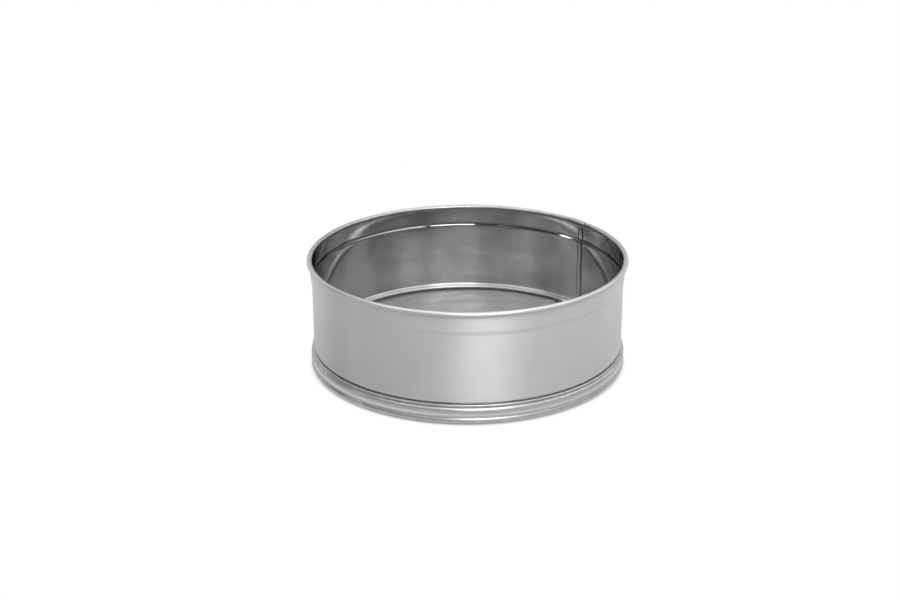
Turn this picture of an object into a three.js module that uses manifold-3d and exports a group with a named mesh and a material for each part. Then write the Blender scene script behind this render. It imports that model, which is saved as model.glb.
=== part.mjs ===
// Flour sieve: a lock-seamed sheet hoop with a wired rim, a woven wire screen, and a foot ring whose
// lip is rolled into the hoop's bead, so that it clamps the edge of the screen under the hoop's flange.
// Millimetres, +Z up. The origin is the centre of the plane that the foot stands on.
import * as THREE from "three";
import { mergeVertices } from "three/addons/utils/BufferGeometryUtils.js";
import Module from "manifold-3d";

const wasm = await Module();
wasm.setup();

// Driving dimensions

// Stock and fits
const SHEET = 0.5; // thickness of the stainless sheet
const SEAT_GAP = 0.3; // gap between pieces that bear on each other
const WIRE_GAP = 0.2; // gap between an edge wire and the curl rolled round it
const CURL_SLOT = 0.4; // slot between a curl's free edge and the wall beside it

// Hoop
const HOOP_DIAMETER = 204.2; // outside of the plain wall
const OVERALL_HEIGHT = 74; // foot to the top of the rim
const RIM_BAND = 14; // top of the rim down to the middle of the step
const STEP_OFFSET = 0.6; // the band above the step stands this much wider, on the radius
const STEP_LENGTH = 4; // height over which the step runs out
const RIM_WIRE = 2.1; // diameter of the wire in the rim
const RIM_INSET = 0.7; // the rim's curl stands this far inside the band's inner face

// Seat of the screen: the inward bead at the hoop's foot, and the flange below it
const SEAT_HEIGHT = 10.9; // underside of the flange, where the screen bears
const BEAD_HEIGHT = 3.2; // outside height of the bead
const BEAD_DEPTH = 3.6; // bead's nose to the wall's inner face
const BEAD_FILLET = 1; // bend from the wall into the bead, at mid-thickness
const FLANGE_WIDTH = 0.5; // flange's edge to the wall's outer face

// Lock seam
const SEAM_ANGLE = 39.5; // degrees from +X towards +Y
const SEAM_WIDTH = 4.2;
const SEAM_RISE = 1; // the folded layers stand this far inside the wall
const SEAM_CHAMFER = 0.3;
const SEAM_BITE = 0.35; // depth to which the folded layers run into the wall
const SHUT_LINE = 0.5; // width of the line where the seam closes on the outer face
const SHUT_LINE_DEPTH = 0.2;
const RIM_NOTCH = 3; // length cut out of the rim's curl beside the seam
const WIRE_BUTT = 0.8; // gap where an edge wire's ends meet

// Foot ring
const FOOT_WIRE = 3.4; // diameter of the wire in the foot
const FOOT_SWELL = 0.8; // the foot's curl stands this far outside the band above it
const FOOT_FILLET = 2.2; // bend from the band into the foot's curl, at mid-thickness
const RIDGE_ROUND = 3.3; // radius of the ridge's rounded upper side, at mid-thickness
const RIDGE_DROP = 1.2; // the ridge is widest this far below the hoop's flange
const RIDGE_SWELL = 0.5; // the ridge stands this far outside the band
const NECK_DROP = 0.85; // the neck above the ridge lies this far below the lip
const LIP_FOLD = 0.45; // the lip's fold stands this far outside the neck
const LIP_REACH = 0.6; // the lip's edge lies this far inside the wall's outer face
const BEND = 0.6; // length of line that a rounded bend takes up on each side
const BEND_SHARE = 0.45; // most of a short run that a bend may take up

// Screen of plain woven wire
const WIRE = 0.5; // diameter of a screen wire
const WIRE_PITCH = 11.2; // spacing of the wires, both ways
const WEAVE_GAP = 0.2; // gap between two wires where they cross

// Facets
const RING_FACETS = 48;
const RIM_FACETS = 9; // round the rim's curl
const STEP_FACETS = 4;
const FILLET_FACETS = 3;
const NOSE_FACETS = 6; // round the bead's nose
const RIDGE_FACETS = 4;
const BEND_FACETS = 2;
const FOOT_OUTER_FACETS = 4; // from the foot's fillet down to its standing flat
const FOOT_INNER_FACETS = 5; // from the standing flat up to the curl's free edge
const EDGE_WIRE_SIDES = 8;
const SCREEN_WIRE_SIDES = 4;
const FLAT_ANGLE = 30; // degrees of the foot's curl that its standing flat takes up

// Sizes that follow from these, with sheet lines and curl radii taken at mid-thickness

const rad = THREE.MathUtils.degToRad;
const deg = THREE.MathUtils.radToDeg;
const at = (radius, height) => new THREE.Vector2(radius, height);

const facetMiddle = Math.cos(Math.PI / RING_FACETS); // a facet's middle as a share of its corners' radius
const hoopOuter = HOOP_DIAMETER / 2;
const wall = hoopOuter - SHEET / 2;
const rimBand = wall + STEP_OFFSET;
const stepHeight = OVERALL_HEIGHT - RIM_BAND;
const rimCurl = RIM_WIRE / 2 + WIRE_GAP + SHEET / 2;
const rimCentre = at(rimBand - RIM_INSET + rimCurl, OVERALL_HEIGHT - SHEET / 2 - rimCurl);

const noseCurl = (BEAD_HEIGHT - SHEET) / 2;
const noseCentre = at(wall - BEAD_DEPTH + noseCurl, SEAT_HEIGHT + BEAD_HEIGHT / 2);
const beadTop = noseCentre.y + noseCurl;
const flangeEdge = hoopOuter + FLANGE_WIDTH;
const besideSeam = (SEAM_WIDTH + RIM_NOTCH) / 2; // middle of the rim's notch, clockwise from the seam

const weaveHeight = (WIRE + WEAVE_GAP) / 2; // a wire's crown above and below the screen's plane
const screenHalf = weaveHeight + WIRE / 2;
const screenHeight = SEAT_HEIGHT - SEAT_GAP - screenHalf;

const crest = SEAT_HEIGHT - RIDGE_DROP;
const ridgeInner = RIDGE_ROUND - SHEET / 2;
const insideRidge = (height) => Math.sqrt(ridgeInner ** 2 - (height - crest) ** 2);
const ridgeCentre = at(flangeEdge + SEAT_GAP - insideRidge(SEAT_HEIGHT + SHEET), crest);
const ridge = ridgeCentre.x + RIDGE_ROUND;
const wireReach = (ridgeCentre.x + insideRidge(screenHeight + screenHalf) - SEAT_GAP) * facetMiddle;
const ledge = screenHeight - screenHalf - SEAT_GAP;
const lip = beadTop - SHEET - SEAT_GAP;
const neckAngle = deg(Math.asin((lip - NECK_DROP - crest) / RIDGE_ROUND));
const footBand = ridge - RIDGE_SWELL;
const footCurl = FOOT_WIRE / 2 + WIRE_GAP + SHEET / 2;
const flatHalf = FLAT_ANGLE / 2;
const footCentre = at(footBand + FOOT_SWELL - footCurl, footCurl * Math.cos(rad(flatHalf)) + SHEET / 2);

// Lines in the plane of radius and height

// Points along an arc, from one angle in degrees to another.
function arc(centre, radius, from, to, facets) {
  const curve = new THREE.EllipseCurve(centre.x, centre.y, radius, radius, rad(from), rad(to), to < from);
  return curve.getPoints(facets);
}

// Angle in degrees at which the upper half of a circle has that radius from the axis.
function angleAt(centre, circle, radius) {
  return deg(Math.acos((radius - centre.x) / circle));
}

// A line of straight runs with its corners bent round.
function bent(corners) {
  return corners.flatMap((corner, i) => {
    if (i === 0 || i === corners.length - 1) return [corner];
    const [before, after] = [corners[i - 1], corners[i + 1]].map((other) => {
      const run = other.clone().sub(corner);
      return corner.clone().addScaledVector(run, Math.min(BEND / run.length(), BEND_SHARE));
    });
    return new THREE.QuadraticBezierCurve(before, corner, after).getPoints(BEND_FACETS);
  });
}

// A line moved sideways to its left, with mitred corners.
function offset(points, distance) {
  return points.map((point, i) => {
    const ahead = (j) => points[j + 1].clone().sub(points[j]).normalize();
    const leaving = ahead(Math.min(i, points.length - 2));
    const arriving = ahead(Math.max(i - 1, 0));
    const left = at(-arriving.y - leaving.y, arriving.x + leaving.x).normalize();
    const mitre = distance / (left.y * leaving.x - left.x * leaving.y);
    return point.clone().addScaledVector(left, mitre);
  });
}

// Outline between two offsets of a line.
function strip(points, right, left) {
  return [...offset(points, right), ...offset(points, left).reverse()];
}

// Solids

// Ring of that closed outline, with the middle of a facet at the seam.
function ring(outline) {
  const start = rad(SEAM_ANGLE + 90) + Math.PI / RING_FACETS;
  return new THREE.LatheGeometry([...outline, outline[0]], RING_FACETS, start).rotateX(Math.PI / 2);
}

// Bar between rails, which are lines of as many points each at their own distance across the plane.
function bar(rails) {
  const sides = rails.length;
  const steps = rails[0].line.length;
  const corners = [];
  for (let i = 0; i < steps; i++) {
    for (const { line, across } of rails) corners.push(line[i].x, across, line[i].y);
  }
  const faces = [];
  const last = (steps - 1) * sides;
  for (let start = 0; start < last; start += sides) {
    for (let side = 0; side < sides; side++) {
      const [a, b] = [start + side, start + ((side + 1) % sides)];
      faces.push(a, a + sides, b, b, a + sides, b + sides);
    }
  }
  for (let side = 1; side < sides - 1; side++) {
    faces.push(0, side, side + 1, last, last + side + 1, last + side);
  }
  const geometry = new THREE.BufferGeometry();
  geometry.setAttribute("position", new THREE.Float32BufferAttribute(corners, 3));
  geometry.setIndex(faces);
  geometry.computeVertexNormals();
  return geometry;
}

// Puts a geometry from the plane of X and Z against the facet at the seam.
function atSeam(geometry) {
  return geometry.scale(facetMiddle, 1, 1).rotateZ(rad(SEAM_ANGLE));
}

// Block of that outline at the seam, or some way clockwise from it.
function blockAtSeam(outline, width, aside = 0) {
  const block = new THREE.ExtrudeGeometry(new THREE.Shape(outline), { depth: width, bevelEnabled: false });
  return atSeam(block.translate(0, 0, aside - width / 2).rotateX(Math.PI / 2));
}

// Outline of a square round a centre.
function square(centre, half) {
  const corners = [at(-half, -half), at(half, -half), at(half, half), at(-half, half)];
  return corners.map((corner) => corner.add(centre));
}

function solid(geometry) {
  const merged = mergeVertices(geometry.deleteAttribute("normal").deleteAttribute("uv"));
  return new wasm.Manifold(
    new wasm.Mesh({
      numProp: 3,
      vertProperties: merged.attributes.position.array,
      triVerts: new Uint32Array(merged.index.array),
    }),
  );
}

function geometryOf(manifold) {
  const { vertProperties, triVerts } = manifold.getMesh();
  const geometry = new THREE.BufferGeometry();
  geometry.setAttribute("position", new THREE.BufferAttribute(vertProperties, 3));
  geometry.setIndex(new THREE.BufferAttribute(triVerts, 1));
  const faceted = geometry.toNonIndexed();
  faceted.computeVertexNormals();
  return faceted;
}

// Hoop: one strip of sheet, rolled up and hooked together in the lock seam. The rim is curled outward
// over its wire, and below the plain wall the sheet is beaded inward and flanged outward.
function hoop() {
  const slotAngle = angleAt(rimCentre, rimCurl, rimBand + SHEET + CURL_SLOT);
  const wallAngle = 360 - angleAt(rimCentre, rimCurl, rimBand);
  const rim = arc(rimCentre, rimCurl, -slotAngle, wallAngle, RIM_FACETS);
  const step = new THREE.CubicBezierCurve(
    at(rimBand, stepHeight + STEP_LENGTH / 2),
    at(rimBand, stepHeight),
    at(wall, stepHeight),
    at(wall, stepHeight - STEP_LENGTH / 2),
  ).getPoints(STEP_FACETS);
  const filletCentre = at(wall - BEAD_FILLET, beadTop + BEAD_FILLET);
  const fillet = arc(filletCentre, BEAD_FILLET, 0, -90, FILLET_FACETS);
  const nose = arc(noseCentre, noseCurl, 90, 270, NOSE_FACETS);
  const sheet = [...rim, ...step, ...fillet, ...nose, at(flangeEdge, SEAT_HEIGHT + SHEET / 2)];
  const body = solid(ring(strip(sheet, -SHEET / 2, SHEET / 2)));

  // The seam's folded layers stand inside the wall, from the rim's curl down to the bead.
  const inside = [...rim.slice(-2), ...step];
  const face = wall - SHEET / 2 - SEAM_RISE;
  const back = offset([...inside, ...fillet], SEAM_BITE - SHEET / 2);
  const foot = back.slice(inside.length).filter((point) => point.x > face + SEAM_CHAMFER);
  const rail = (below, across) => {
    const line = offset(inside, below - SEAM_RISE - SHEET / 2);
    return { line: [...line, ...foot.map(({ y }) => at(face + below, y))], across };
  };
  const backRail = (across) => ({ line: [...back.slice(0, inside.length), ...foot], across });
  const side = SEAM_WIDTH / 2;
  const folded = bar([
    backRail(side),
    rail(SEAM_CHAMFER, side),
    rail(0, side - SEAM_CHAMFER),
    rail(0, SEAM_CHAMFER - side),
    rail(SEAM_CHAMFER, -side),
    backRail(-side),
  ]);

  // Outside, only the line where the seam closes shows, and beside it the rim's curl is cut back.
  const outside = [rim.at(-1), ...step, fillet[0]];
  const shutLine = strip(outside, SHEET / 2 - SHUT_LINE_DEPTH, SHEET / 2 + SHUT_LINE_DEPTH);
  const rimHalf = rimCurl + SHEET;
  const notch = square(at(rimCentre.x + rimHalf, rimCentre.y), rimHalf);
  const seamed = body.add(solid(atSeam(folded)));
  const lined = seamed.subtract(solid(blockAtSeam(shutLine, SHUT_LINE)));
  return geometryOf(lined.subtract(solid(blockAtSeam(notch, RIM_NOTCH, besideSeam))));
}

// Wire in a rolled edge, with its ends butted beside the seam, behind the rim's notch.
function edgeWire(centre, diameter) {
  const wire = solid(ring(arc(centre, diameter / 2, 0, 360, EDGE_WIRE_SIDES).slice(1)));
  const butt = blockAtSeam(square(centre, diameter), WIRE_BUTT, besideSeam);
  return geometryOf(wire.subtract(solid(butt)));
}

// Foot ring: the lip lies in the groove of the hoop's bead, the ridge goes round the hoop's flange,
// the ledge below it carries the screen's edge, and the foot is curled inward over its wire.
function footRing() {
  const bandEnd = Math.sqrt((footCurl + FOOT_FILLET) ** 2 - (footBand + FOOT_FILLET - footCentre.x) ** 2);
  const filletCentre = at(footBand + FOOT_FILLET, footCentre.y + bandEnd);
  const curlStart = deg(Math.atan2(bandEnd, filletCentre.x - footCentre.x));
  const curlEnd = angleAt(footCentre, footCurl, footBand - SHEET - CURL_SLOT) - 360;
  const upper = arc(ridgeCentre, RIDGE_ROUND, neckAngle, 0, RIDGE_FACETS);
  const neck = upper[0];
  const fold = bent([at(hoopOuter - LIP_REACH, lip), at(neck.x + LIP_FOLD, lip), neck]);
  const waist = bent([
    upper.at(-1),
    at(ridge, ledge),
    at(footBand, ledge - RIDGE_SWELL),
    filletCentre.clone().setX(footBand),
  ]);
  const fillet = arc(filletCentre, FOOT_FILLET, 180, 180 + curlStart, FILLET_FACETS).slice(1);
  const curl = [
    ...arc(footCentre, footCurl, curlStart, flatHalf - 90, FOOT_OUTER_FACETS).slice(1),
    ...arc(footCentre, footCurl, -flatHalf - 90, curlEnd, FOOT_INNER_FACETS),
  ];
  const sheet = [...fold, ...upper.slice(1), ...waist.slice(1), ...fillet, ...curl];
  return ring(strip(sheet, -SHEET / 2, SHEET / 2));
}

// Screen wire along X, which bends up and down between the wires that cross it and is cut off round.
function screenWire(place, firstUp) {
  const end = Math.sqrt(wireReach ** 2 - (Math.abs(place) + WIRE / 2) ** 2);
  const height = (along) => {
    const turns = along / WIRE_PITCH;
    const wave = 1 - 2 * Math.abs(turns - 2 * Math.round(turns / 2));
    return firstUp * weaveHeight * wave;
  };
  const crossings = Math.floor(end / WIRE_PITCH - WIRE / WIRE_PITCH);
  const line = [at(-end, height(-end))];
  for (let i = -crossings; i <= crossings; i++) line.push(at(i * WIRE_PITCH, height(i * WIRE_PITCH)));
  line.push(at(end, height(end)));
  const rails = Array.from({ length: SCREEN_WIRE_SIDES }, (_, side) => {
    const turn = (2 * Math.PI * side) / SCREEN_WIRE_SIDES;
    return { line: offset(line, (Math.cos(turn) * WIRE) / 2), across: (Math.sin(turn) * WIRE) / 2 };
  });
  return bar(rails);
}

// Materials

const polishedSheet = { color: 0xc4c5c6, roughness: 0.22, metalness: 1 };
const drawnWire = { color: 0xa9abad, roughness: 0.35, metalness: 1 };

function piece(name, geometry, finish) {
  const mesh = new THREE.Mesh(geometry, new THREE.MeshStandardMaterial(finish));
  mesh.name = name;
  return mesh;
}

// Screen: warp wires along Y and weft wires along X, over and under each other by turns.
function screen() {
  const group = new THREE.Group();
  const most = Math.floor((noseCentre.x - noseCurl - SHEET / 2) / WIRE_PITCH);
  for (let i = -most; i <= most; i++) {
    const up = i % 2 === 0 ? 1 : -1;
    const place = i * WIRE_PITCH;
    const number = String(i + most + 1).padStart(2, "0");
    const weft = piece(`weft_wire_${number}`, screenWire(place, up), drawnWire);
    weft.position.y = place;
    const warp = piece(`warp_wire_${number}`, screenWire(place, -up), drawnWire);
    warp.position.x = place;
    warp.rotation.z = Math.PI / 2;
    group.add(weft, warp);
  }
  group.position.z = screenHeight;
  return group;
}

const sieve = new THREE.Group();
sieve.add(
  piece("side_hoop", hoop(), polishedSheet),
  piece("rim_wire", edgeWire(rimCentre, RIM_WIRE), drawnWire),
  piece("foot_ring", footRing(), polishedSheet),
  piece("foot_wire", edgeWire(footCentre, FOOT_WIRE), drawnWire),
  screen(),
);

export default sieve;
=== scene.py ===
import math

import bpy
import numpy as np
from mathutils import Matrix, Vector


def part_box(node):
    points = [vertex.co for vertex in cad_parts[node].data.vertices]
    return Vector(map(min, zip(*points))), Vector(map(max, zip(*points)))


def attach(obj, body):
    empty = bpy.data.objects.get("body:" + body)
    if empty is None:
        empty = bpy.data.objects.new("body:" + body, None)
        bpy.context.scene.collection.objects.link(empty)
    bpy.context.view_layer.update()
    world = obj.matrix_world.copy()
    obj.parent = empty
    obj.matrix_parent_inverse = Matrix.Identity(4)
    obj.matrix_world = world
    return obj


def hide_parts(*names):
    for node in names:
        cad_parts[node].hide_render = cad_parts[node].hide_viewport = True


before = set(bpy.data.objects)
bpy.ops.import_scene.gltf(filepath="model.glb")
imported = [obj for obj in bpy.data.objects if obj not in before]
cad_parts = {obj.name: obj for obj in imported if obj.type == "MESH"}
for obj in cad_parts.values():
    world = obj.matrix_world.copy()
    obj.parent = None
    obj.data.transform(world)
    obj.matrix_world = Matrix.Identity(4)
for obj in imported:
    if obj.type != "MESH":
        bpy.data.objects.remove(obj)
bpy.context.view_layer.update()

# Side hoop
# One strip of thin stainless sheet, rolled into a drum and hooked together in a lock seam that is pressed to
# the inside. Its top edge is curled outward over a wire, a shallow step stiffens it below the rim, and its
# foot is beaded inward and flanged outward over the screen.
mm = 0.001
hoop_low, hoop_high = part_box("side_hoop")

hoop_sheet = 0.5 * mm
wall_radius = 101.85 * mm  # of the middle of the sheet, as all radii here
rim_band_radius = 102.45 * mm  # under the curl; the band leans in a little towards the rim
step_radius = 102.56 * mm
step_height = 60.0 * mm
step_length = 3.9 * mm
step_steepest = 0.35  # share of the step's length below its steepest place
rim_curl = 1.5 * mm
curl_end = -98.0  # degrees, where the curl's edge lies
rim_outer_share = 0.35  # share of the curl's radius, outside which the rim takes its own finish, with its painted shade
rim_centre = Vector((103.25 * mm, hoop_high.z - rim_curl - hoop_sheet / 2))
bead_fillet = 1.0 * mm
bead_nose = 1.35 * mm
nose_centre = Vector((99.6 * mm, hoop_low.z + hoop_sheet / 2 + bead_nose))
bead_top = nose_centre.y + bead_nose
flange_radius = 102.6 * mm
flange_height = nose_centre.y - bead_nose

seam_angle = math.radians(39.5)
seam_width = 5.0 * mm
seam_rise = 1.0 * mm
seam_shoulder = 1.7 * mm
seam_flank = 0.5 * mm
seam_foot = 1.5 * mm  # height over which the seam comes out of the bead
seam_head = (-0.6 * mm, 0.3 * mm)  # from the curl's lower edge, where the seam runs into it
shut_line = 0.5 * mm  # the seam as the outside shows it
shut_line_edge = 0.1 * mm
shut_line_depth = 0.2 * mm
notch_length = 3.0 * mm
notch_crest = 140.0  # degrees: the curl is cut back to here, past its top
swell_place = 11.5 * mm  # along the girth from the seam
swell_reach = 4.0 * mm
swell_depth = 1.2 * mm
swell_rise = 0.6 * mm
lap_start = (-0.1 * mm, 0.3 * mm)  # from the seam's edge at the notch
lap_end = (10.0 * mm, 13.0 * mm)  # along the girth from the seam
lap_fullness = 0.2  # of the curl's breadth
lap_ripples = ((0.08, 0.55 * mm), (0.05, 0.31 * mm))  # share of the breadth, length
lap_rise = 0.25 * mm

# Unevenness of the rolled strip; each wave has its height in mm, its number round the girth and a phase.
wall_waves = ((0.05, 5, 0.6), (0.035, 9, 2.0), (0.02, 17, 1.0))
wall_buckles = ((0.03, 11, 0.4),)
buckle_height = 44 * mm
rim_waves = ((0.03, 13, 0.0), (0.02, 31, 1.0))
rim_unevenness = (-2.0 * mm, 1.0 * mm)  # from the curl's lower edge, where the rim's waves set in


def arc(centre, radius, start, end, steps):
    """Points on a round stretch of a section, from one angle in degrees to another."""
    turn = np.radians(np.linspace(start, end, steps + 1))
    return np.column_stack((centre[0] + radius * np.cos(turn), centre[1] + radius * np.sin(turn)))


def straight(start, end, steps):
    """Points on a straight stretch of a section, without its two ends."""
    return np.linspace(start, end, steps + 1)[1:-1]


def ramp(value, start, end):
    """Rises smoothly from 0 at start to 1 at end."""
    t = np.clip((value - start) / (end - start), 0, 1)
    return t * t * (3 - 2 * t)


def ripple(angle, waves):
    """Sum of waves round the girth, each given as height, number and phase."""
    return sum(height * np.sin(count * angle + phase) for height, count, phase in waves)


outer, inner = 0, 1  # the two faces of a sheet, named for the upright wall
wear_reach = 2.0 * mm  # the sheet counts as worn, and on the foot takes its painted shade, where it turns far within this distance
wear_turn = (0.7, 1.9)  # radians, from unworn to fully worn
crease_angle = math.radians(38)


def rolled_sheet(name, section, sheet, angles, first_rows, shaped):
    """Ring of sheet with that section, given as (radius, height) along the middle of its thickness.

    Each of the angles has a column of points on both faces of the sheet, which shaped(face, angle, radius,
    height) may move. first_rows says, for the stretch after each angle, how far its upper edge is cut back.
    The mesh carries the strip's own flat coordinates and how much each of its points is worn; on the foot
    that also sets a painted shade.
    """
    steps = np.diff(section, axis=0)
    steps /= np.linalg.norm(steps, axis=1)[:, None]
    along = np.vstack((steps[:1], steps[:-1] + steps[1:], steps[-1:]))
    along /= np.linalg.norm(along, axis=1)[:, None]
    across = np.column_stack((-along[:, 1], along[:, 0])) * sheet / 2

    turn = angles[:, None]
    points = []
    for face, line in enumerate((section + across, section - across)):
        radius, height = np.broadcast_arrays(*shaped(face, turn, line[None, :, 0], line[None, :, 1]))
        points.append(np.stack((radius * np.cos(turn), radius * np.sin(turn), height), axis=-1))
    points = np.stack(points, axis=1)

    quads = []

    def quad(*corners):
        quads.append(np.stack([np.stack(np.broadcast_arrays(*c), -1) for c in corners], -2).reshape(-1, 4, 3))

    count, last = len(angles), len(section) - 1
    j, i = np.meshgrid(np.arange(count), np.arange(last), indexing="ij")
    kept = i >= first_rows[:, None]
    j, i = j[kept], i[kept]
    quad((j, outer, i), (j, outer, i + 1), (j + 1, outer, i + 1), (j + 1, outer, i))
    quad((j, inner, i), (j + 1, inner, i), (j + 1, inner, i + 1), (j, inner, i + 1))
    j, i = np.arange(count), first_rows
    quad((j, outer, i), (j + 1, outer, i), (j + 1, inner, i), (j, inner, i))
    quad((j + 1, outer, last), (j, outer, last), (j, inner, last), (j + 1, inner, last))
    for j in np.flatnonzero(first_rows != np.roll(first_rows, 1)):
        before, after = first_rows[j - 1], first_rows[j]
        i = np.arange(min(before, after), max(before, after))
        a, b = (i, i + 1) if before < after else (i + 1, i)
        quad((j, outer, a), (j, outer, b), (j, inner, b), (j, inner, a))
    quads = np.concatenate(quads)

    index = np.ravel_multi_index((quads[..., 0] % count, quads[..., 1], quads[..., 2]), points.shape[:3])
    used, index = np.unique(index, return_inverse=True)
    mesh = bpy.data.meshes.new(name)
    mesh.from_pydata(points.reshape(-1, 3)[used].tolist(), [], index.reshape(-1, 4).tolist())
    mesh.polygons.foreach_set("material_index", quads[:, :, 1].min(axis=1))
    lengths = np.linalg.norm(np.diff(section, axis=0), axis=1)
    run = np.concatenate(([0], np.cumsum(lengths)))
    turns = np.abs(np.diff(np.unwrap(np.arctan2(steps[:, 1], steps[:, 0]))))
    turned = np.concatenate(([0], np.cumsum(turns), [turns.sum()]))
    near = np.interp(run + wear_reach, run, turned) - np.interp(run - wear_reach, run, turned)
    rubbed = np.broadcast_to(ramp(near, *wear_turn), points.shape[:3]).ravel()[used]
    mesh.attributes.new("rubbed", "FLOAT", "POINT").data.foreach_set("value", rubbed)
    girth = np.append(angles, angles[0] + 2 * np.pi) * section[:, 0].mean()
    flat = np.stack((girth[quads[..., 0]], run[quads[..., 2]]), axis=-1)
    mesh.uv_layers.new(name="flat_strip").uv.foreach_set("vector", flat.ravel())
    mesh.shade_smooth()
    mesh.set_sharp_from_angle(angle=crease_angle)
    ring = bpy.data.objects.new(name, mesh)
    bpy.context.scene.collection.objects.link(ring)
    return ring


curl_steps = 36
band_steps = 7
step_steps = 24
wall_steps = 26
fillet_steps = 6
nose_steps = 18
flange_steps = 3
curl_start = 360 - math.degrees(math.acos((rim_band_radius - rim_centre.x) / rim_curl))
rim_low = rim_centre.y + rim_curl * math.sin(math.radians(curl_start))
step_run = np.linspace(1, 0, step_steps + 1)
step_share = np.where(
    step_run < step_steepest,
    step_run**2 / step_steepest,
    1 - (1 - step_run) ** 2 / (1 - step_steepest),
)
fillet_centre = (wall_radius - bead_fillet, bead_top + bead_fillet)
hoop_section = np.vstack(
    (
        arc(rim_centre, rim_curl, curl_end, curl_start, curl_steps),
        straight((rim_band_radius, rim_low), (step_radius, step_height + step_length / 2), band_steps),
        np.column_stack(
            (
                wall_radius + (step_radius - wall_radius) * step_share,
                step_height + step_length * (step_run - 0.5),
            )
        ),
        straight((wall_radius, step_height - step_length / 2), (wall_radius, fillet_centre[1]), wall_steps),
        arc(fillet_centre, bead_fillet, 0, -90, fillet_steps),
        arc(nose_centre, bead_nose, 90, 270, nose_steps),
        straight((nose_centre.x, flange_height), (flange_radius, flange_height), flange_steps),
        ((flange_radius, flange_height),),
    )
)

# Fine columns of points at the seam and at the notch beside it, and even ones round the rest of the girth.
fine_reach = 7.0 * mm
fine_pitch = 0.2 * mm
even_steps = 361
fine = np.linspace(-fine_reach, fine_reach, round(2 * fine_reach / fine_pitch) + 1) / wall_radius
even = np.linspace(fine[-1], 2 * np.pi + fine[0], even_steps + 1)[1:-1]
hoop_angles = seam_angle + np.concatenate((fine, even))
notch_middle = seam_angle - (seam_width + notch_length) / 2 / wall_radius
stretch_middles = (hoop_angles + np.append(hoop_angles[1:], hoop_angles[0] + 2 * np.pi)) / 2
in_notch = np.abs(stretch_middles - notch_middle) < notch_length / 2 / wall_radius
crest_row = round(curl_steps * (notch_crest - curl_end) / (curl_start - curl_end))
hoop_first_rows = np.where(in_notch, crest_row, 0)


def hoop_shape(face, angle, radius, height):
    """Moves points of the hoop's section: its waves, lock seam, swollen bead and uneven rim."""
    aside = (angle - seam_angle) * wall_radius
    belly = np.sin(np.pi * np.clip((height - bead_top) / (step_height - bead_top), 0, 1))
    wave = ripple(angle, wall_waves)
    wave = wave + ripple(angle, wall_buckles) * np.sin(2 * np.pi * height / buckle_height)
    radius = radius + belly * wave * mm
    # The seam's layers stand up on the inside, and the outside shows where they are shut.
    on_seam = ramp(aside, seam_width / 2, seam_width / 2 - seam_shoulder)
    on_seam = on_seam * ramp(aside, -seam_width / 2, -seam_width / 2 + seam_flank)
    between = ramp(height, bead_top, bead_top + seam_foot)
    between = between * ramp(height, rim_low + seam_head[1], rim_low + seam_head[0])
    if face == inner:
        radius = radius - seam_rise * on_seam * between
    else:
        shut = ramp(np.abs(aside), shut_line / 2 + shut_line_edge, shut_line / 2 - shut_line_edge)
        radius = radius - shut_line_depth * shut * between
    # The bead swells where it was rolled over the seam's layers.
    on_bead = ramp(radius, wall_radius, wall_radius - bead_fillet)
    on_bead = on_bead * ramp(height, bead_top + bead_fillet, bead_top - bead_nose)
    swell = np.exp(-(((aside - swell_place) / swell_reach) ** 2)) * on_bead
    radius = radius - swell_depth * swell
    height = height + swell_rise * swell
    # The rim is a little uneven, and fuller where the strip's end laps over in the curl.
    on_rim = ramp(height, rim_low + rim_unevenness[0], rim_low + rim_unevenness[1])
    lap = ramp(aside, -seam_width / 2 + lap_start[0], -seam_width / 2 + lap_start[1])
    lap = lap * ramp(aside, lap_end[1], lap_end[0])
    ragged = sum((share * np.sin(aside / length) for share, length in lap_ripples), lap_fullness)
    full = 1 + ragged * lap * on_rim
    radius = rim_centre.x + (radius - rim_centre.x) * np.where(height > rim_low, full, 1)
    height = height + lap_rise * lap * on_rim
    height = height + on_rim * mm * ripple(angle, rim_waves)
    return radius, height


def linear(colour):
    """An sRGB hex colour as linear RGBA."""
    parts = [int(colour[i : i + 2], 16) / 255 for i in (1, 3, 5)]
    return [p / 12.92 if p <= 0.04045 else ((p + 0.055) / 1.055) ** 2.4 for p in parts] + [1.0]


def add(tree, kind, inputs=None, **settings):
    """Adds a node with its settings; an input is a value, or an output socket to link from."""
    node = tree.nodes.new(kind)
    for name, value in settings.items():
        setattr(node, name, value)
    for name, value in (inputs or {}).items():
        if isinstance(value, bpy.types.NodeSocket):
            tree.links.new(value, node.inputs[name])
        else:
            node.inputs[name].default_value = value
    return node


def new_material(name):
    """An empty node material and its tree."""
    material = bpy.data.materials.new(name)
    material.use_nodes = True
    material.node_tree.nodes.clear()
    return material, material.node_tree


colour_a, colour_b, mixed_colour = 6, 7, 2  # sockets of a Mix node that mixes colours
bump_depth = 0.02 * mm


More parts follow.
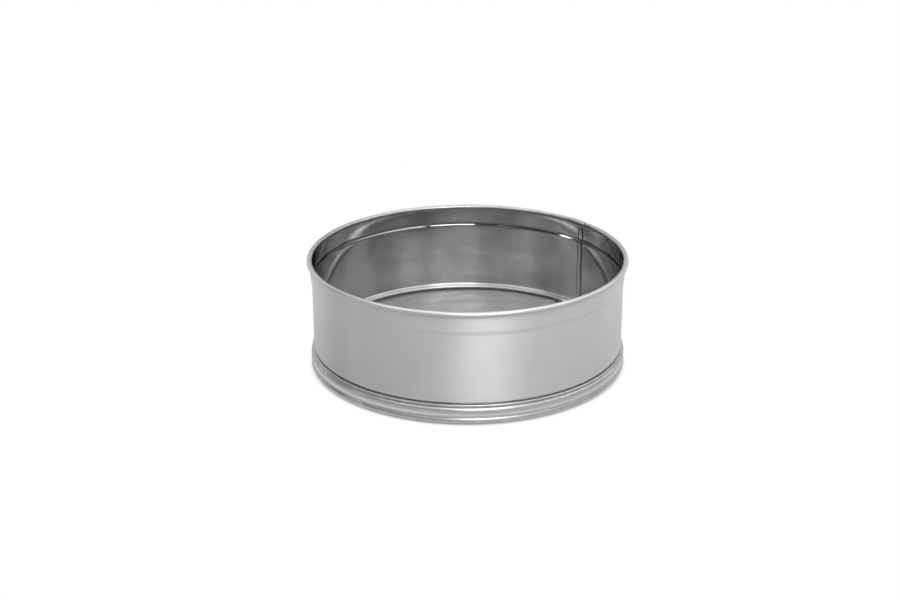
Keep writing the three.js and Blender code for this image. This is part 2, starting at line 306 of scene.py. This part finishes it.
def worn_steel(tree, clouds, pattern, wear_and_shade_mask, bump, more, dark, pale, rubbed, roughness, worn_roughness):
    """Ends a steel material. Clouds shade it from dark to pale; a pattern varies its roughness and raises a
    bump; a mask turns it to its worn roughness and its worn tone, which on the foot is a darker, painted
    shade."""
    colour = add(
        tree,
        "ShaderNodeMix",
        {"Factor": clouds, colour_a: linear(dark), colour_b: linear(pale)},
        data_type="RGBA",
    )
    worn = add(
        tree,
        "ShaderNodeMix",
        {"Factor": wear_and_shade_mask, colour_a: colour.outputs[mixed_colour], colour_b: linear(rubbed)},
        data_type="RGBA",
    )
    spread = add(
        tree,
        "ShaderNodeMapRange",
        {"Value": pattern, "To Min": roughness[0], "To Max": roughness[1]},
    )
    scuffed = add(
        tree,
        "ShaderNodeMix",
        {"Factor": wear_and_shade_mask, "A": spread.outputs["Result"], "B": worn_roughness},
    )
    raised = add(tree, "ShaderNodeBump", {"Height": pattern, "Strength": bump, "Distance": bump_depth})
    steel = add(
        tree,
        "ShaderNodeBsdfPrincipled",
        {
            "Base Color": worn.outputs[mixed_colour],
            "Metallic": 1.0,
            "Roughness": scuffed.outputs["Result"],
            "Normal": raised.outputs["Normal"],
            **more,
        },
    )
    add(tree, "ShaderNodeOutputMaterial", {"Surface": steel.outputs["BSDF"]})


roll_line = (45 * mm, 0.35 * mm)  # length and width; drawn coarser than real, so that the lines show
cloud_size = 24 * mm
rubbed_patch = 5 * mm
quarter_turn = 0.25  # from along the strip to across it


def rolled_stainless(name, drawn_out, line_bump, **looks):
    """Rolled stainless sheet: neutral grey, clouded a little, with fine roll lines along the strip.

    The lines vary the roughness, raise a slight bump and draw lights out across the strip. Tight bends are
    worn by hands and table tops to another smoothness and tone, in uneven patches; where that tone is darker,
    as on the foot, it is painted shade that dims the lights along the bends.
    """
    material, tree = new_material(name)
    strip = add(tree, "ShaderNodeUVMap", uv_map="flat_strip").outputs["UV"]
    lined = add(
        tree,
        "ShaderNodeMapping",
        {"Vector": strip, "Scale": (1 / roll_line[0], 1 / roll_line[1], 1)},
    )
    lines = add(
        tree,
        "ShaderNodeTexNoise",
        {"Vector": lined.outputs["Vector"], "Scale": 1.0, "Detail": 3.0, "Roughness": 0.6},
    )
    clouds = add(tree, "ShaderNodeTexNoise", {"Vector": strip, "Scale": 1 / cloud_size, "Detail": 2.0})
    bends = add(tree, "ShaderNodeAttribute", attribute_name="rubbed").outputs["Fac"]
    patches = add(tree, "ShaderNodeTexNoise", {"Vector": strip, "Scale": 1 / rubbed_patch, "Detail": 3.0})
    uneven = add(
        tree,
        "ShaderNodeMapRange",
        {"Value": patches.outputs["Fac"], "From Min": 0.3, "From Max": 0.6, "To Min": 0.6, "To Max": 1.0},
    )
    wear_and_shade_mask = add(tree, "ShaderNodeMath", {0: bends, 1: uneven.outputs["Result"]}, operation="MULTIPLY")
    tangent = add(tree, "ShaderNodeTangent", direction_type="UV_MAP", uv_map="flat_strip")
    grain = {
        "Anisotropic": drawn_out,
        "Anisotropic Rotation": quarter_turn,
        "Tangent": tangent.outputs["Tangent"],
    }
    worn_steel(
        tree, clouds.outputs["Fac"], lines.outputs["Fac"], wear_and_shade_mask.outputs[0], line_bump, grain, **looks
    )
    return material


side_hoop = rolled_sheet(
    "side_hoop_sheet", hoop_section, hoop_sheet, hoop_angles, hoop_first_rows, hoop_shape
)
hoop_finishes = [
    # Outside: a satin finish, on which lights lie as soft upright bands.
    rolled_stainless(
        "satin_rolled_stainless_hoop_outside",
        dark="#c6c6c6",
        pale="#d2d2d2",
        rubbed="#d4d4d4",
        roughness=(0.5, 0.54),
        worn_roughness=0.4,
        drawn_out=0.82,
        line_bump=0.15,
    ),
    # Inside: bright and almost a mirror, so it shows the screen, the bead and the rim again.
    rolled_stainless(
        "bright_rolled_stainless_hoop_inside",
        dark="#cacaca",
        pale="#d0d0d0",
        rubbed="#d6d6d6",
        roughness=(0.07, 0.11),
        worn_roughness=0.12,
        drawn_out=0.2,
        line_bump=0.04,
    ),
    # The rim's outer side and the bead's swell: soft, with a tone darker than the wall's, painted shade on
    # the rim, yet paler than the bead's, a painted highlight on the swell.
    rolled_stainless(
        "rubbed_stainless_rim",
        dark="#aeaeae",
        pale="#b6b6b6",
        rubbed="#bebebe",
        roughness=(0.34, 0.4),
        worn_roughness=0.36,
        drawn_out=0.2,
        line_bump=0.08,
    ),
    # The rim's inner side and the bead: a much darker copy of the same sheet, painted shade, with a clear
    # highlight.
    rolled_stainless(
        "painted_shade_stainless_bead_and_rim",
        dark="#707070",
        pale="#8c8c8c",
        rubbed="#a8a8a8",
        roughness=(0.28, 0.32),
        worn_roughness=0.3,
        drawn_out=0.2,
        line_bump=0.06,
    ),
]
for material in hoop_finishes:
    side_hoop.data.materials.append(material)

# The sheet has its first two finishes by face; the bends on the inner face get the other two: the darker
# copy, painted shade, on the bead and the rim's inner side, and the rim's copy, painted shade on the rim's
# outer side and a painted highlight on the bead's swell.
rubbed_finish, shaded_finish = 2, 3
rim_turn = rim_centre.x + rim_outer_share * rim_curl
polygons = side_hoop.data.polygons
finish = np.empty(len(polygons), dtype=np.int32)
middles = np.empty((len(polygons), 3), dtype=np.float32)
polygons.foreach_get("material_index", finish)
polygons.foreach_get("center", middles.ravel())
out = np.hypot(middles[:, 0], middles[:, 1])
up = middles[:, 2]
aside = (np.arctan2(middles[:, 1], middles[:, 0]) - seam_angle) * wall_radius
bends = (finish == inner) & ((up > rim_low) | (up < bead_top + bead_fillet / 2))
outer_rim_and_swell = np.where(up > rim_low, out > rim_turn, np.abs(aside - swell_place) < swell_reach)
finish[bends] = np.where(outer_rim_and_swell, rubbed_finish, shaded_finish)[bends]
polygons.foreach_set("material_index", finish)
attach(side_hoop, "root")
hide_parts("side_hoop")

# Rim wire
# A round of drawn steel wire that the hoop's top edge is curled over, to keep the drum round. Its ends butt
# beside the lock seam, where the curl is cut back and shows them.
rim_wire_diameter = 2.1 * mm
wire_butt = 0.8 * mm  # gap between the wire's ends
stain_size = 3 * mm
handled_patch = 14 * mm
wire_bump = 0.1


def drawn_wire(name, **looks):
    """Drawn steel wire: plain grey and duller than the sheet, with faint stains.

    The stains vary the roughness and raise a slight bump. Patches are worn paler and smoother. Both are
    drawn coarser than the wire's own fine draw marks, which are far too fine to show.
    """
    material, tree = new_material(name)
    place = add(tree, "ShaderNodeTexCoord").outputs["Object"]
    stains = add(tree, "ShaderNodeTexNoise", {"Vector": place, "Scale": 1 / stain_size, "Detail": 3.0})
    stained = stains.outputs["Fac"]
    patches = add(tree, "ShaderNodeTexNoise", {"Vector": place, "Scale": 1 / handled_patch, "Detail": 2.0})
    wear_and_shade_mask = add(
        tree,
        "ShaderNodeMapRange",
        {"Value": patches.outputs["Fac"], "From Min": 0.5, "From Max": 0.75},
        interpolation_type="SMOOTHSTEP",
    )
    worn_steel(tree, stained, stained, wear_and_shade_mask.outputs["Result"], wire_bump, {}, **looks)
    return material


def node_group(name, sizes):
    """An empty Geometry Nodes tree with those named sizes, a material and a mesh that comes out."""
    tree = bpy.data.node_groups.new(name, "GeometryNodeTree")
    for size, kind in sizes.items():
        tree.interface.new_socket(size, in_out="INPUT", socket_type=kind)
    tree.interface.new_socket("Material", in_out="INPUT", socket_type="NodeSocketMaterial")
    tree.interface.new_socket("Mesh", in_out="OUTPUT", socket_type="NodeSocketGeometry")
    return tree, add(tree, "NodeGroupInput").outputs


def end_group(tree, geometry, material):
    """Ends a tree: what it has made is realized, gets its material and comes out as a mesh."""
    realized = add(tree, "GeometryNodeRealizeInstances", {"Geometry": geometry})
    painted = add(
        tree,
        "GeometryNodeSetMaterial",
        {"Geometry": realized.outputs["Geometry"], "Material": material},
    )
    add(tree, "NodeGroupOutput", {"Mesh": painted.outputs["Geometry"]})


def made_by(tree, name, values):
    """The plain mesh that a tree makes from those values, as a new object."""
    empty = bpy.data.objects.new(name + "_maker", bpy.data.meshes.new(name + "_maker"))
    bpy.context.scene.collection.objects.link(empty)
    modifier = empty.modifiers.new("maker", "NODES")
    modifier.node_group = tree
    for item in tree.interface.items_tree:
        if item.in_out == "INPUT":
            modifier[item.identifier] = values[item.name]
    mesh = bpy.data.meshes.new_from_object(empty.evaluated_get(bpy.context.evaluated_depsgraph_get()))
    bpy.data.objects.remove(empty)
    mesh.name = name
    made = bpy.data.objects.new(name, mesh)
    bpy.context.scene.collection.objects.link(made)
    return made


round_steps = 256
round_sides = 16
wire_round, sizes = node_group(
    "wire_round",
    {
        "Ring radius": "NodeSocketFloat",
        "Wire diameter": "NodeSocketFloat",
        "Height": "NodeSocketFloat",
        "Start angle": "NodeSocketFloat",
        "Sweep angle": "NodeSocketFloat",
    },
)
ring = add(
    wire_round,
    "GeometryNodeCurveArc",
    {
        "Resolution": round_steps,
        "Radius": sizes["Ring radius"],
        "Start Angle": sizes["Start angle"],
        "Sweep Angle": sizes["Sweep angle"],
    },
)
half = add(wire_round, "ShaderNodeMath", {0: sizes["Wire diameter"], 1: 0.5}, operation="MULTIPLY")
profile = add(
    wire_round,
    "GeometryNodeCurvePrimitiveCircle",
    {"Resolution": round_sides, "Radius": half.outputs[0]},
)
swept = add(
    wire_round,
    "GeometryNodeCurveToMesh",
    {"Curve": ring.outputs["Curve"], "Profile Curve": profile.outputs["Curve"], "Fill Caps": True},
)
lift = add(wire_round, "ShaderNodeCombineXYZ", {"Z": sizes["Height"]})
lifted = add(
    wire_round,
    "GeometryNodeTransform",
    {"Geometry": swept.outputs["Mesh"], "Translation": lift.outputs["Vector"]},
)
end_group(wire_round, lifted.outputs["Geometry"], sizes["Material"])

# Plain steel: a dull grey where the notch lets it show.
edge_wire_steel = drawn_wire(
    "drawn_steel_edge_wire",
    dark="#909090",
    pale="#a6a6a6",
    rubbed="#b4b4b4",
    roughness=(0.3, 0.42),
    worn_roughness=0.26,
)
butt_angle = wire_butt / rim_centre.x
rim_wire = made_by(
    wire_round,
    "rim_wire_round",
    {
        "Ring radius": rim_centre.x,
        "Wire diameter": rim_wire_diameter,
        "Height": rim_centre.y,
        "Start angle": notch_middle + butt_angle / 2,
        "Sweep angle": 2 * math.pi - butt_angle,
        "Material": edge_wire_steel,
    },
)
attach(rim_wire, "root")
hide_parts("rim_wire")

# Screen
# A flat disc of plain woven stainless wire, cut round and clamped at its edge between the hoop's flange and
# the foot ring. Each wire runs over and under the ones that it crosses.
screen_pitch = 0.8 * mm
screen_wire_diameter = 0.26 * mm
screen_wire_sides = 4  # too fine to show more
screen_crimp = 0.13 * mm  # each wire's rise and fall from the screen's middle
screen_height = 10.0 * mm
screen_reach = 102.7 * mm
screen_bands = 3  # groups of wires, side by side

woven_wires, sizes = node_group(
    "woven_wires",
    {
        "Pitch": "NodeSocketFloat",
        "Wire diameter": "NodeSocketFloat",
        "Crimp": "NodeSocketFloat",
        "Reach": "NodeSocketFloat",
        "First wire": "NodeSocketInt",
        "Wires": "NodeSocketInt",
        "Crossings each side": "NodeSocketInt",
        "Height": "NodeSocketFloat",
        "Turn": "NodeSocketFloat",
    },
)
crossing_count = add(
    woven_wires,
    "ShaderNodeMath",
    {0: sizes["Crossings each side"], 1: 2.0, 2: 1.0},
    operation="MULTIPLY_ADD",
)
half_length = add(
    woven_wires,
    "ShaderNodeMath",
    {0: sizes["Crossings each side"], 1: sizes["Pitch"]},
    operation="MULTIPLY",
)
other_half = add(woven_wires, "ShaderNodeMath", {0: half_length.outputs[0], 1: -1.0}, operation="MULTIPLY")
first_place = add(
    woven_wires,
    "ShaderNodeMath",
    {0: sizes["First wire"], 1: sizes["Pitch"]},
    operation="MULTIPLY",
)
near_side = add(woven_wires, "ShaderNodeCombineXYZ", {"Y": first_place.outputs[0]})
one_pitch = add(woven_wires, "ShaderNodeCombineXYZ", {"Y": sizes["Pitch"]})
left_end = add(woven_wires, "ShaderNodeCombineXYZ", {"X": other_half.outputs[0]})
right_end = add(woven_wires, "ShaderNodeCombineXYZ", {"X": half_length.outputs[0]})
places = add(
    woven_wires,
    "GeometryNodeMeshLine",
    {
        "Count": sizes["Wires"],
        "Start Location": near_side.outputs["Vector"],
        "Offset": one_pitch.outputs["Vector"],
    },
)
wire = add(
    woven_wires,
    "GeometryNodeCurvePrimitiveLine",
    {"Start": left_end.outputs["Vector"], "End": right_end.outputs["Vector"]},
)
crossings = add(
    woven_wires,
    "GeometryNodeResampleCurve",
    {"Curve": wire.outputs["Curve"], "Count": crossing_count.outputs[0]},
)
spread = add(
    woven_wires,
    "GeometryNodeInstanceOnPoints",
    {"Points": places.outputs["Mesh"], "Instance": crossings.outputs["Curve"]},
)
loose_wires = add(woven_wires, "GeometryNodeRealizeInstances", {"Geometry": spread.outputs["Instances"]})
position = add(woven_wires, "GeometryNodeInputPosition").outputs["Position"]
spot = add(woven_wires, "ShaderNodeSeparateXYZ", {"Vector": position})
from_middle = add(woven_wires, "ShaderNodeVectorMath", {0: position}, operation="LENGTH")
outside = add(
    woven_wires,
    "FunctionNodeCompare",
    {0: from_middle.outputs["Value"], 1: sizes["Reach"]},
    operation="GREATER_THAN",
)
cut_round = add(
    woven_wires,
    "GeometryNodeDeleteGeometry",
    {"Geometry": loose_wires.outputs["Geometry"], "Selection": outside.outputs["Result"]},
    domain="POINT",
)
half_turn = add(woven_wires, "ShaderNodeMath", {0: math.pi, 1: sizes["Pitch"]}, operation="DIVIDE")
waves = []
for axis in ("X", "Y"):
    phase = add(
        woven_wires,
        "ShaderNodeMath",
        {0: spot.outputs[axis], 1: half_turn.outputs[0]},
        operation="MULTIPLY",
    )
    waves.append(add(woven_wires, "ShaderNodeMath", {0: phase.outputs[0]}, operation="COSINE").outputs[0])
weave = add(woven_wires, "ShaderNodeMath", {0: waves[0], 1: waves[1]}, operation="MULTIPLY")
over_under = add(
    woven_wires,
    "ShaderNodeMath",
    {0: weave.outputs[0], 1: sizes["Crimp"], 2: sizes["Height"]},
    operation="MULTIPLY_ADD",
)
rise = add(woven_wires, "ShaderNodeCombineXYZ", {"Z": over_under.outputs[0]})
crimped = add(
    woven_wires,
    "GeometryNodeSetPosition",
    {"Geometry": cut_round.outputs["Geometry"], "Offset": rise.outputs["Vector"]},
)
half = add(woven_wires, "ShaderNodeMath", {0: sizes["Wire diameter"], 1: 0.5}, operation="MULTIPLY")
profile = add(
    woven_wires,
    "GeometryNodeCurvePrimitiveCircle",
    {"Resolution": screen_wire_sides, "Radius": half.outputs[0]},
)
thick = add(
    woven_wires,
    "GeometryNodeCurveToMesh",
    {"Curve": crimped.outputs["Geometry"], "Profile Curve": profile.outputs["Curve"], "Fill Caps": True},
)
turned = add(woven_wires, "ShaderNodeCombineXYZ", {"Z": sizes["Turn"]})
laid = add(
    woven_wires,
    "GeometryNodeTransform",
    {"Geometry": thick.outputs["Mesh"], "Rotation": turned.outputs["Vector"]},
)
end_group(woven_wires, laid.outputs["Geometry"], sizes["Material"])

# Stainless: brighter than the edge wire, and from afar an even grey with a fine pattern.
screen_steel = drawn_wire(
    "fine_drawn_stainless_screen_wire",
    dark="#929292",
    pale="#a0a0a0",
    rubbed="#a8a8a8",
    roughness=(0.18, 0.24),
    worn_roughness=0.16,
)
crossings_each_side = int(screen_reach / screen_pitch)
band_edges = np.linspace(-crossings_each_side, crossings_each_side + 1, screen_bands + 1)
band_edges = band_edges.round().astype(int).tolist()
for name, crimp, turn in (("weft", screen_crimp, 0.0), ("warp", -screen_crimp, math.pi / 2)):
    for band, (first, after) in enumerate(zip(band_edges[:-1], band_edges[1:]), 1):
        wires = made_by(
            woven_wires,
            f"screen_{name}_wires_{band}",
            {
                "Pitch": screen_pitch,
                "Wire diameter": screen_wire_diameter,
                "Crimp": crimp,
                "Reach": screen_reach,
                "First wire": first,
                "Wires": after - first,
                "Crossings each side": crossings_each_side,
                "Height": screen_height,
                "Turn": turn,
                "Material": screen_steel,
            },
        )
        replaced = []
        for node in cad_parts:
            if node.startswith(f"{name}_wire_"):
                middle = sum(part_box(node), Vector()) / 2
                place = middle.y if name == "weft" else -middle.x
                if first * screen_pitch <= place < after * screen_pitch:
                    replaced.append(node)
        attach(wires, "root")
        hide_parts(*replaced)

# Foot ring
# A second strip of the same sheet, closed round the hoop's flange: a lip hooks in over the flange, a neck
# grips below it, a ridge stands round the flange's edge, and the plain band under it ends in an inward curl.
foot_low, foot_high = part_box("foot_ring")

foot_sheet = 0.5 * mm
lip_height = foot_high.z - foot_sheet / 2
lip_radius = 103.1 * mm
lip_depth = 1.2 * mm
lip_end = (101.5 * mm, lip_height)
lip_fold = (lip_radius, lip_height)
lip_foot = (lip_radius, lip_height - lip_depth)
neck = (102.15 * mm, 11.45 * mm)
ridge_start = 60.0  # degrees, where the ridge's round comes out of the neck
ridge_round = 2.4 * mm
ridge_centre = (101.4 * mm, 9.0 * mm)
ridge_foot = 7.4 * mm
waist_height = 5.7 * mm
band_radius = 103.17 * mm
foot_bend = 0.6 * mm
foot_curl = 2.45 * mm
foot_curl_end = -283.0  # degrees, where the curl's edge lies
foot_fillet = 2.2 * mm
fillet_joint = 0.1 * mm  # the band ends this far above the fillet
curl_centre = Vector((101.52 * mm, foot_low.z + foot_curl + foot_sheet / 2))
foot_waves = ((0.04, 6, 1.1), (0.03, 13, 0.3))
foot_unevenness = (2.0 * mm, 8.0 * mm)  # the waves set in between these heights, so the foot stands flat

bend_room = 0.45  # share of a side that one bend may take


def bent(corners, bend, steps):
    """Line through those corners, each bent to that radius as far as its shorter side allows."""
    corners = np.array(corners, float)
    line = [corners[:1]]
    for before, corner, after in zip(corners[:-2], corners[1:-1], corners[2:]):
        to, on = corner - before, after - corner
        room = bend_room * min(np.hypot(*to), np.hypot(*on))
        to, on = to / np.hypot(*to), on / np.hypot(*on)
        half = math.acos(np.clip(to @ on, -1, 1)) / 2
        cut = min(bend * math.tan(half), room)
        side = np.sign(to[0] * on[1] - to[1] * on[0])
        centre = corner - to * cut + side * np.array((-to[1], to[0])) * cut / math.tan(half)
        start = math.degrees(math.atan2(*(corner - to * cut - centre)[::-1]))
        line.append(arc(centre, cut / math.tan(half), start, start + side * math.degrees(2 * half), steps))
    return np.vstack(line + [corners[-1:]])


# The band runs into the curl by a fillet that touches both.
between = foot_curl + foot_fillet
fillet_turn = math.degrees(math.acos((band_radius + foot_fillet - curl_centre.x) / between))
fillet_height = curl_centre.y + between * math.sin(math.radians(fillet_turn))
bend_steps = 6
ridge_steps = 12
ridge_bend = 2  # steps of the ridge that its bend into the neck takes
foot_curl_steps = 40
foot_columns = 400
ridge = arc(ridge_centre, ridge_round, ridge_start, 0, ridge_steps)
foot_section = np.vstack(
    (
        bent((lip_end, lip_fold, lip_foot, neck, ridge[0], ridge[ridge_bend]), foot_bend, bend_steps)[:-1],
        ridge[ridge_bend:-1],
        bent(
            (
                ridge[-1],
                (ridge[-1][0], ridge_foot),
                (band_radius, waist_height),
                (band_radius, fillet_height + fillet_joint),
            ),
            foot_bend,
            bend_steps,
        ),
        arc((band_radius + foot_fillet, fillet_height), foot_fillet, 180, 180 + fillet_turn, bend_steps),
        arc(curl_centre, foot_curl, fillet_turn, foot_curl_end, foot_curl_steps)[1:],
    )
)
foot_angles = np.linspace(0, 2 * np.pi, foot_columns + 1)[:-1]
foot_first_rows = np.zeros(foot_columns, int)


def foot_shape(face, angle, radius, height):
    """Moves points of the foot's section: its waves above the curl."""
    return radius + mm * ripple(angle, foot_waves) * ramp(height, *foot_unevenness), height


foot_ring = rolled_sheet(
    "foot_ring_sheet", foot_section, foot_sheet, foot_angles, foot_first_rows, foot_shape
)
# Bright, but less of a mirror than the hoop's inside: lights run along its ridge and curl as clear lines, and
# its tight bends are scuffed rougher and painted darker, a painted shade that dims those lights there.
for face in ("outside", "inside"):
    foot_ring.data.materials.append(
        rolled_stainless(
            "bright_rolled_stainless_foot_" + face,
            dark="#c8c8c8",
            pale="#d0d0d0",
            rubbed="#a6a6a6",
            roughness=(0.24, 0.28),
            worn_roughness=0.38,
            drawn_out=0.5,
            line_bump=0.03,
        )
    )
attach(foot_ring, "root")
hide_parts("foot_ring")

# Foot wire
# A round of thicker drawn steel wire that the foot's lower edge is curled over, as the hoop's top edge is
# over the rim wire. It makes the foot stiff to stand on.
foot_wire_diameter = 3.8 * mm
foot_wire = made_by(
    wire_round,
    "foot_wire_round",
    {
        "Ring radius": curl_centre.x,
        "Wire diameter": foot_wire_diameter,
        "Height": curl_centre.y,
        "Start angle": notch_middle + butt_angle / 2,
        "Sweep angle": 2 * math.pi - butt_angle,
        "Material": edge_wire_steel,
    },
)
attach(foot_wire, "root")
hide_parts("foot_wire")

# Floor and backdrop
# A paper sweep that runs up behind the object. The camera sees it white up to the foot, so the picture's
# ground is plain and only the shadow under the foot and the screen stays. The metal mirrors it white right
# at the foot, where a ring of it glows for the metal alone, a painted reflection that lights the foot's curl;
# in its own grey near by, and white again further out.
sweep_half_width = 4.0
sweep_front = -4.0
sweep_bend = 0.6
sweep_bend_steps = 24
sweep_wall = 1.8
sweep_top = 2.6
shadow_edge = (0.1, 0.1065)  # metres from the middle, as the next two: where each begins and is full
glow_ring_at_foot = (0.12, 0.106)
white_further_out = (0.1, 0.3)
sweep_section = np.vstack(
    (
        ((sweep_front, 0.0),),
        arc((sweep_wall - sweep_bend, sweep_bend), sweep_bend, -90, 0, sweep_bend_steps),
        ((sweep_wall, sweep_top),),
    )
)
points = [(x, y, z) for x in (-sweep_half_width, sweep_half_width) for y, z in sweep_section]
row = len(sweep_section)
sweep_mesh = bpy.data.meshes.new("sweep")
sweep_mesh.from_pydata(points, [], [(i, i + row, i + row + 1, i + 1) for i in range(row - 1)])
sweep_mesh.shade_smooth()
sweep = bpy.data.objects.new("sweep", sweep_mesh)
bpy.context.scene.collection.objects.link(sweep)

paper, tree = new_material("white_paper_sweep")
path = add(tree, "ShaderNodeLightPath").outputs
place = add(tree, "ShaderNodeTexCoord").outputs["Object"]
away = add(tree, "ShaderNodeVectorMath", {0: place}, operation="LENGTH")
zones = []
for start, end in (shadow_edge, glow_ring_at_foot, white_further_out):
    zone = add(
        tree,
        "ShaderNodeMapRange",
        {"Value": away.outputs["Value"], "From Min": start, "From Max": end},
        interpolation_type="SMOOTHSTEP",
    )
    zones.append(zone.outputs["Result"])
lit, glow_ring, further_out = zones
seen = path["Is Camera Ray"]
for factor, operation in ((path["Is Transmission Ray"], "MAXIMUM"), (lit, "MULTIPLY")):
    seen = add(tree, "ShaderNodeMath", {0: seen, 1: factor}, operation=operation).outputs[0]
white = lit
# For glossy rays the floor glows white in a ring right at the foot, a painted reflection, and further out;
# the camera sees it white past the shadow's edge.
for factor, operation in (
    (glow_ring, "MULTIPLY"),
    (further_out, "MAXIMUM"),
    (path["Is Glossy Ray"], "MULTIPLY"),
    (seen, "MAXIMUM"),
):
    white = add(tree, "ShaderNodeMath", {0: white, 1: factor}, operation=operation).outputs[0]
matt = add(tree, "ShaderNodeBsdfDiffuse", {"Color": linear("#b0b0b0")})
light = add(tree, "ShaderNodeEmission", {"Color": (1, 1, 1, 1), "Strength": 1.0})
both = add(tree, "ShaderNodeMixShader", {0: white, 1: matt.outputs["BSDF"], 2: light.outputs["Emission"]})
add(tree, "ShaderNodeOutputMaterial", {"Surface": both.outputs["Shader"]})
sweep_mesh.materials.append(paper)

# Studio light
# A white ceiling over a room that is dark along the horizon, which the camera itself sees as white. A strong
# soft box stands over the camera, wide dim ones hang overhead and stand on both sides, and a small bright one
# far to the left gives the glint on that edge.
light_aim = Vector((0, 0, 0.03))
room = bpy.data.worlds.new("white_ceiling")
room.use_nodes = True
tree = room.node_tree
direction = add(tree, "ShaderNodeTexCoord").outputs["Generated"]
up = add(tree, "ShaderNodeSeparateXYZ", {"Vector": direction})
ceiling = add(
    tree,
    "ShaderNodeMapRange",
    {"Value": up.outputs["Z"], "From Min": 0.2, "From Max": 0.9, "To Min": 0.03, "To Max": 1.0},
    interpolation_type="SMOOTHSTEP",
)
camera_ray = add(tree, "ShaderNodeLightPath").outputs["Is Camera Ray"]
strength = add(tree, "ShaderNodeMath", {0: ceiling.outputs["Result"], 1: camera_ray}, operation="MAXIMUM")
tree.links.new(strength.outputs[0], tree.nodes["Background"].inputs["Strength"])
tree.nodes["Background"].inputs["Color"].default_value = (1, 1, 1, 1)
bpy.context.scene.world = room
# Each box: degrees from the front towards the right, degrees up, metres away, width and height, radiance.
for name, azimuth, elevation, away, size, radiance in (
    ("overhead_box", 180, 73, 1.5, (1.6, 1.2), 1.2),
    ("key_box", 12, 40, 1.7, (1.0, 1.2), 4.4),
    ("right_box", 58, 36, 1.6, (1.4, 1.4), 1.0),
    ("far_right_box", 100, 30, 1.5, (1.0, 1.0), 1.15),
    ("left_box", -46, 42, 1.6, (1.2, 1.2), 0.8),
    ("far_left_box", -82, 15, 1.5, (0.25, 0.3), 2.8),
):
    light = bpy.data.lights.new(name, "AREA")
    light.shape = "RECTANGLE"
    light.size, light.size_y = size
    light.energy = radiance * math.pi * size[0] * size[1]
    lamp = bpy.data.objects.new(name, light)
    turn, tilt = math.radians(azimuth), math.radians(elevation)
    lamp.location = away * Vector(
        (math.cos(tilt) * math.sin(turn), -math.cos(tilt) * math.cos(turn), math.sin(tilt))
    )
    lamp.rotation_euler = (light_aim - lamp.location).to_track_quat("-Z", "Y").to_euler()
    bpy.context.scene.collection.objects.link(lamp)

# Camera
# In front of the object and looking down on it at the photograph's angle, from about a metre away. The frame
# is moved a little, so that the object stands where it does in the picture.
picture_width = 900
focal_pixels = 1515
aim = Vector((0, 0, 0.038))
aim_pixel = (467.6, 304.5)
picture_middle = (450, 300)
camera_distance = 1.005
camera_elevation = math.radians(21.7)
lens = bpy.data.cameras.new("camera")
lens.sensor_fit = "HORIZONTAL"
lens.sensor_width = 36
lens.lens = lens.sensor_width * focal_pixels / picture_width
lens.shift_x = -(aim_pixel[0] - picture_middle[0]) / picture_width
lens.shift_y = (aim_pixel[1] - picture_middle[1]) / picture_width
camera = bpy.data.objects.new("camera", lens)
camera.location = aim + camera_distance * Vector((0, -math.cos(camera_elevation), math.sin(camera_elevation)))
camera.rotation_euler = (math.pi / 2 - camera_elevation, 0, 0)
bpy.context.scene.collection.objects.link(camera)
bpy.context.scene.camera = camera
bpy.context.scene.view_settings.view_transform = "Standard"
